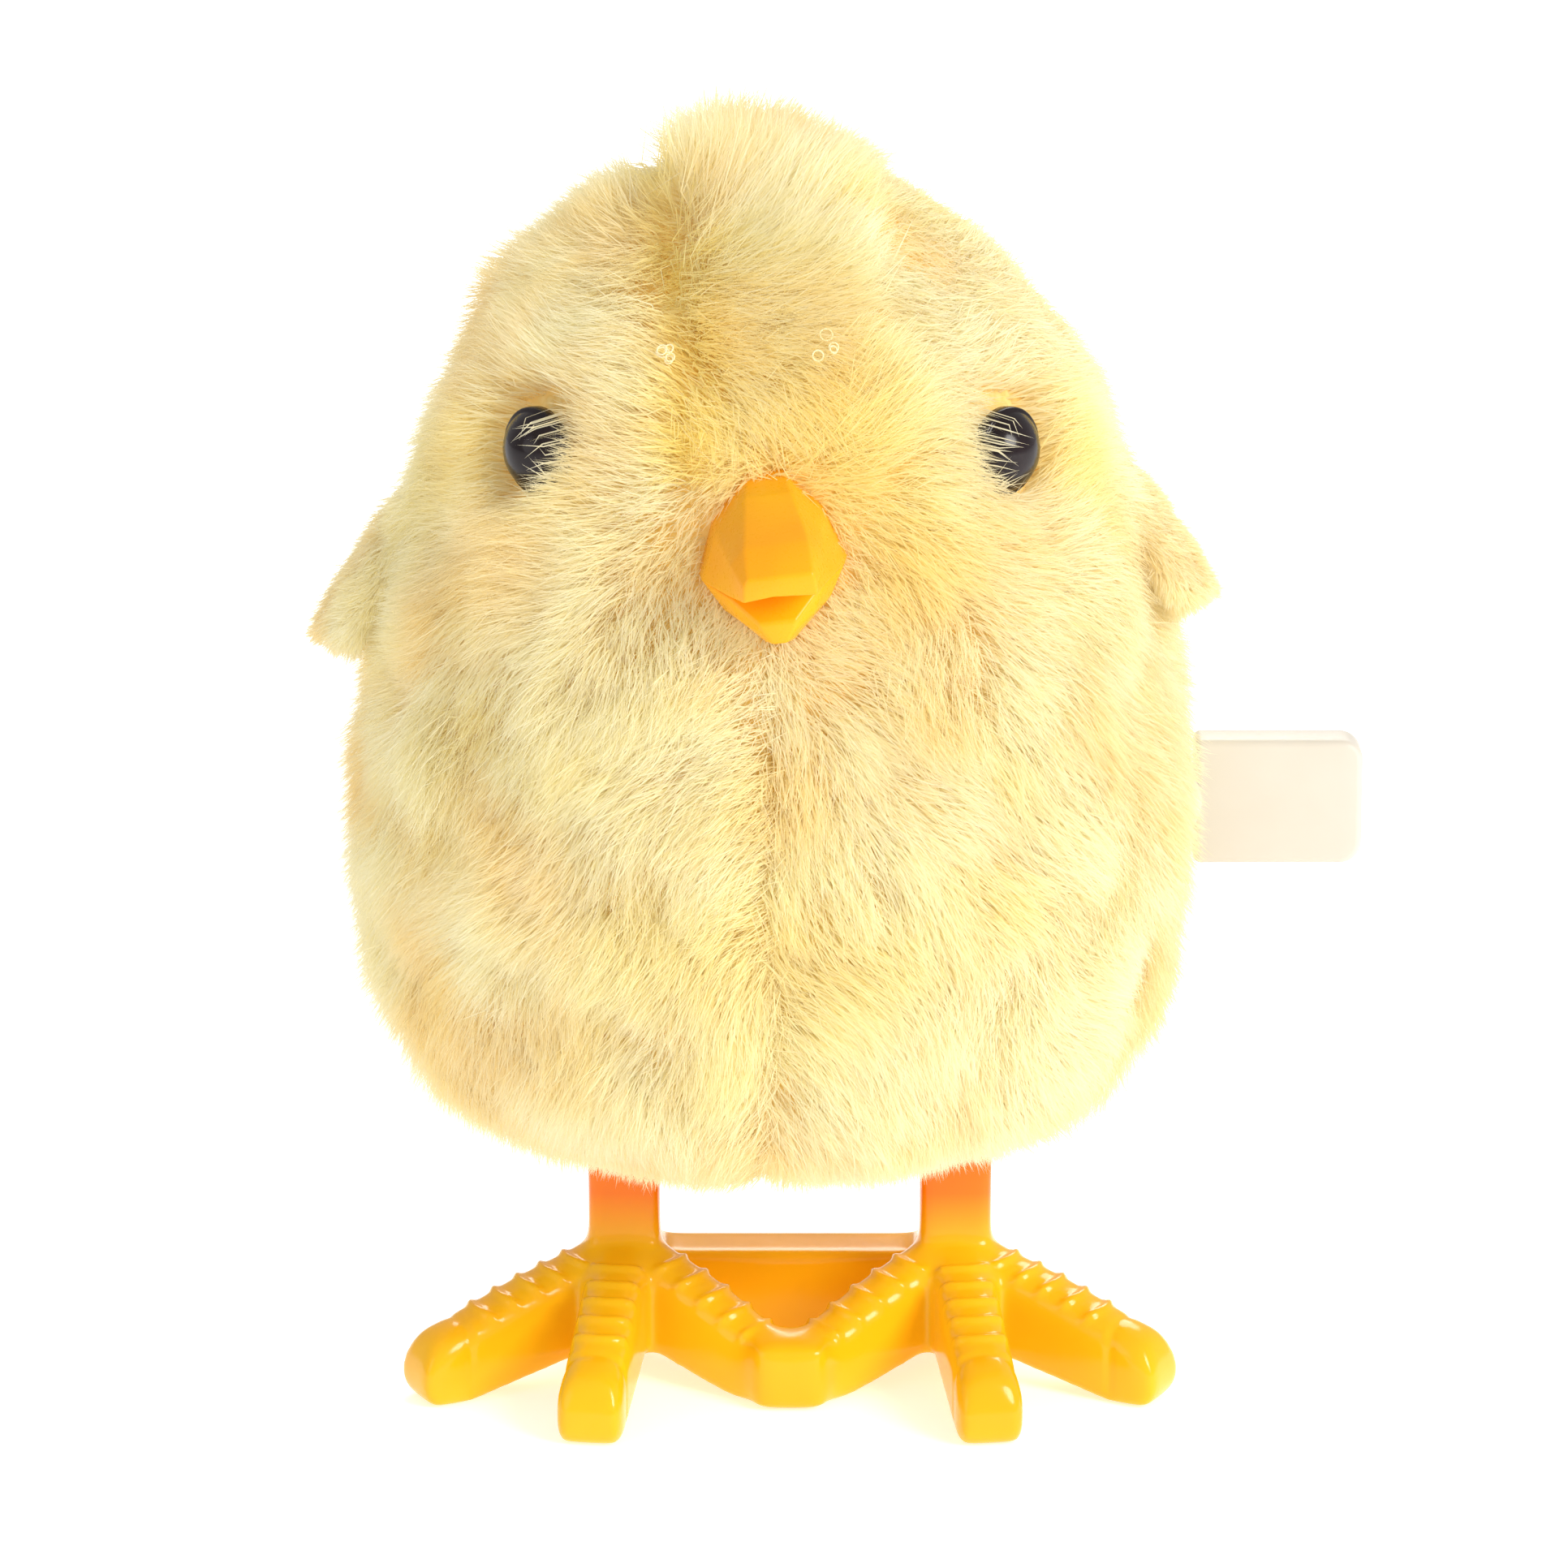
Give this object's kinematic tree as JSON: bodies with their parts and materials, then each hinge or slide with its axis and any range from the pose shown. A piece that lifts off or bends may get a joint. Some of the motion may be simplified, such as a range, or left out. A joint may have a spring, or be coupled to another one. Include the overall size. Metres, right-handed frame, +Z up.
{
  "type": "wind-up hopping chick toy",
  "caption": "Clockwork hopping chick: egg-shaped body in long yellow pile, small wings, bead eyes, plastic beak, side winding knob, and joined ribbed feet that rock under it.",
  "frame": {"origin": "on the ground, at the centre of the flat pad where the two inner toes join", "axes": "+Z up; the chick faces -Y; +X towards the winding knob"},
  "size_m": [0.0705, 0.0576, 0.0884],
  "materials": {
    "orange_plastic": "glossy injection-moulded plastic",
    "pile_fabric": "soft long pile, cream tips over tan roots",
    "bead_black": "polished",
    "beak_plastic": "glossy injection-moulded plastic",
    "knob_plastic": "satin",
    "case_plastic": "satin",
    "gear_plastic": "satin",
    "shell_plastic": "as moulded",
    "steel": "drawn",
    "spring_steel": "blued"
  },
  "bodies": {
    "feet": {"legs_and_feet": "orange_plastic"},
    "chassis": {"motor_case_left": "case_plastic", "motor_case_right": "case_plastic", "motor_case_screws": "steel", "leg_pivot_pins": "steel", "body_shell_left": "shell_plastic", "body_shell_right": "shell_plastic", "body_shell_screws": "steel", "plush_left": "pile_fabric", "plush_right": "pile_fabric", "plush_head_gusset": "pile_fabric", "wing_left": "pile_fabric", "wing_right": "pile_fabric", "eye_left": "bead_black", "eye_right": "bead_black", "beak": "beak_plastic", "mainspring": "spring_steel"},
    "main_gear": {"main_gear": "gear_plastic", "click_pawl": "gear_plastic"},
    "winding": {"winding_arbor": "steel", "ratchet_wheel": "gear_plastic", "winding_knob": "knob_plastic"},
    "second_gear": {"second_gear": "gear_plastic", "second_axle": "steel"},
    "third_gear": {"third_gear": "gear_plastic", "third_axle": "steel"},
    "crank": {"crank_pinion": "gear_plastic", "crank_shaft": "steel", "crank_disc_left": "gear_plastic", "crank_disc_right": "gear_plastic"}
  },
  "joints": [
    {"name": "hop_rock", "type": "hinge", "parent": "feet", "child": "chassis", "pos_m": [0, 0.0028, 0.0302], "axis": [1, 0, 0], "range_deg": [-8, 8]},
    {"name": "main_gear_turn", "type": "hinge", "parent": "chassis", "child": "main_gear", "pos_m": [0, 0.0124, 0.0392], "axis": [1, 0, 0], "continuous": true, "deforming": ["mainspring"]},
    {"name": "knob_wind", "type": "hinge", "parent": "main_gear", "child": "winding", "pos_m": [0, 0.0124, 0.0392], "axis": [1, 0, 0], "continuous": true},
    {"name": "second_gear_turn", "type": "hinge", "parent": "chassis", "child": "second_gear", "pos_m": [0, 0.00932, 0.03074], "axis": [1, 0, 0], "continuous": true},
    {"name": "third_gear_turn", "type": "hinge", "parent": "chassis", "child": "third_gear", "pos_m": [0, 0.00128, 0.0317], "axis": [1, 0, 0], "continuous": true},
    {"name": "crank_turn", "type": "hinge", "parent": "chassis", "child": "crank", "pos_m": [0, 0.0028, 0.0392], "axis": [1, 0, 0], "continuous": true}
  ],
  "couplings": [
    {"joint": "second_gear_turn", "follows": "main_gear_turn", "ratio": -3},
    {"joint": "third_gear_turn", "follows": "main_gear_turn", "ratio": 7.8},
    {"joint": "crank_turn", "follows": "main_gear_turn", "ratio": -18.72}
  ]
}
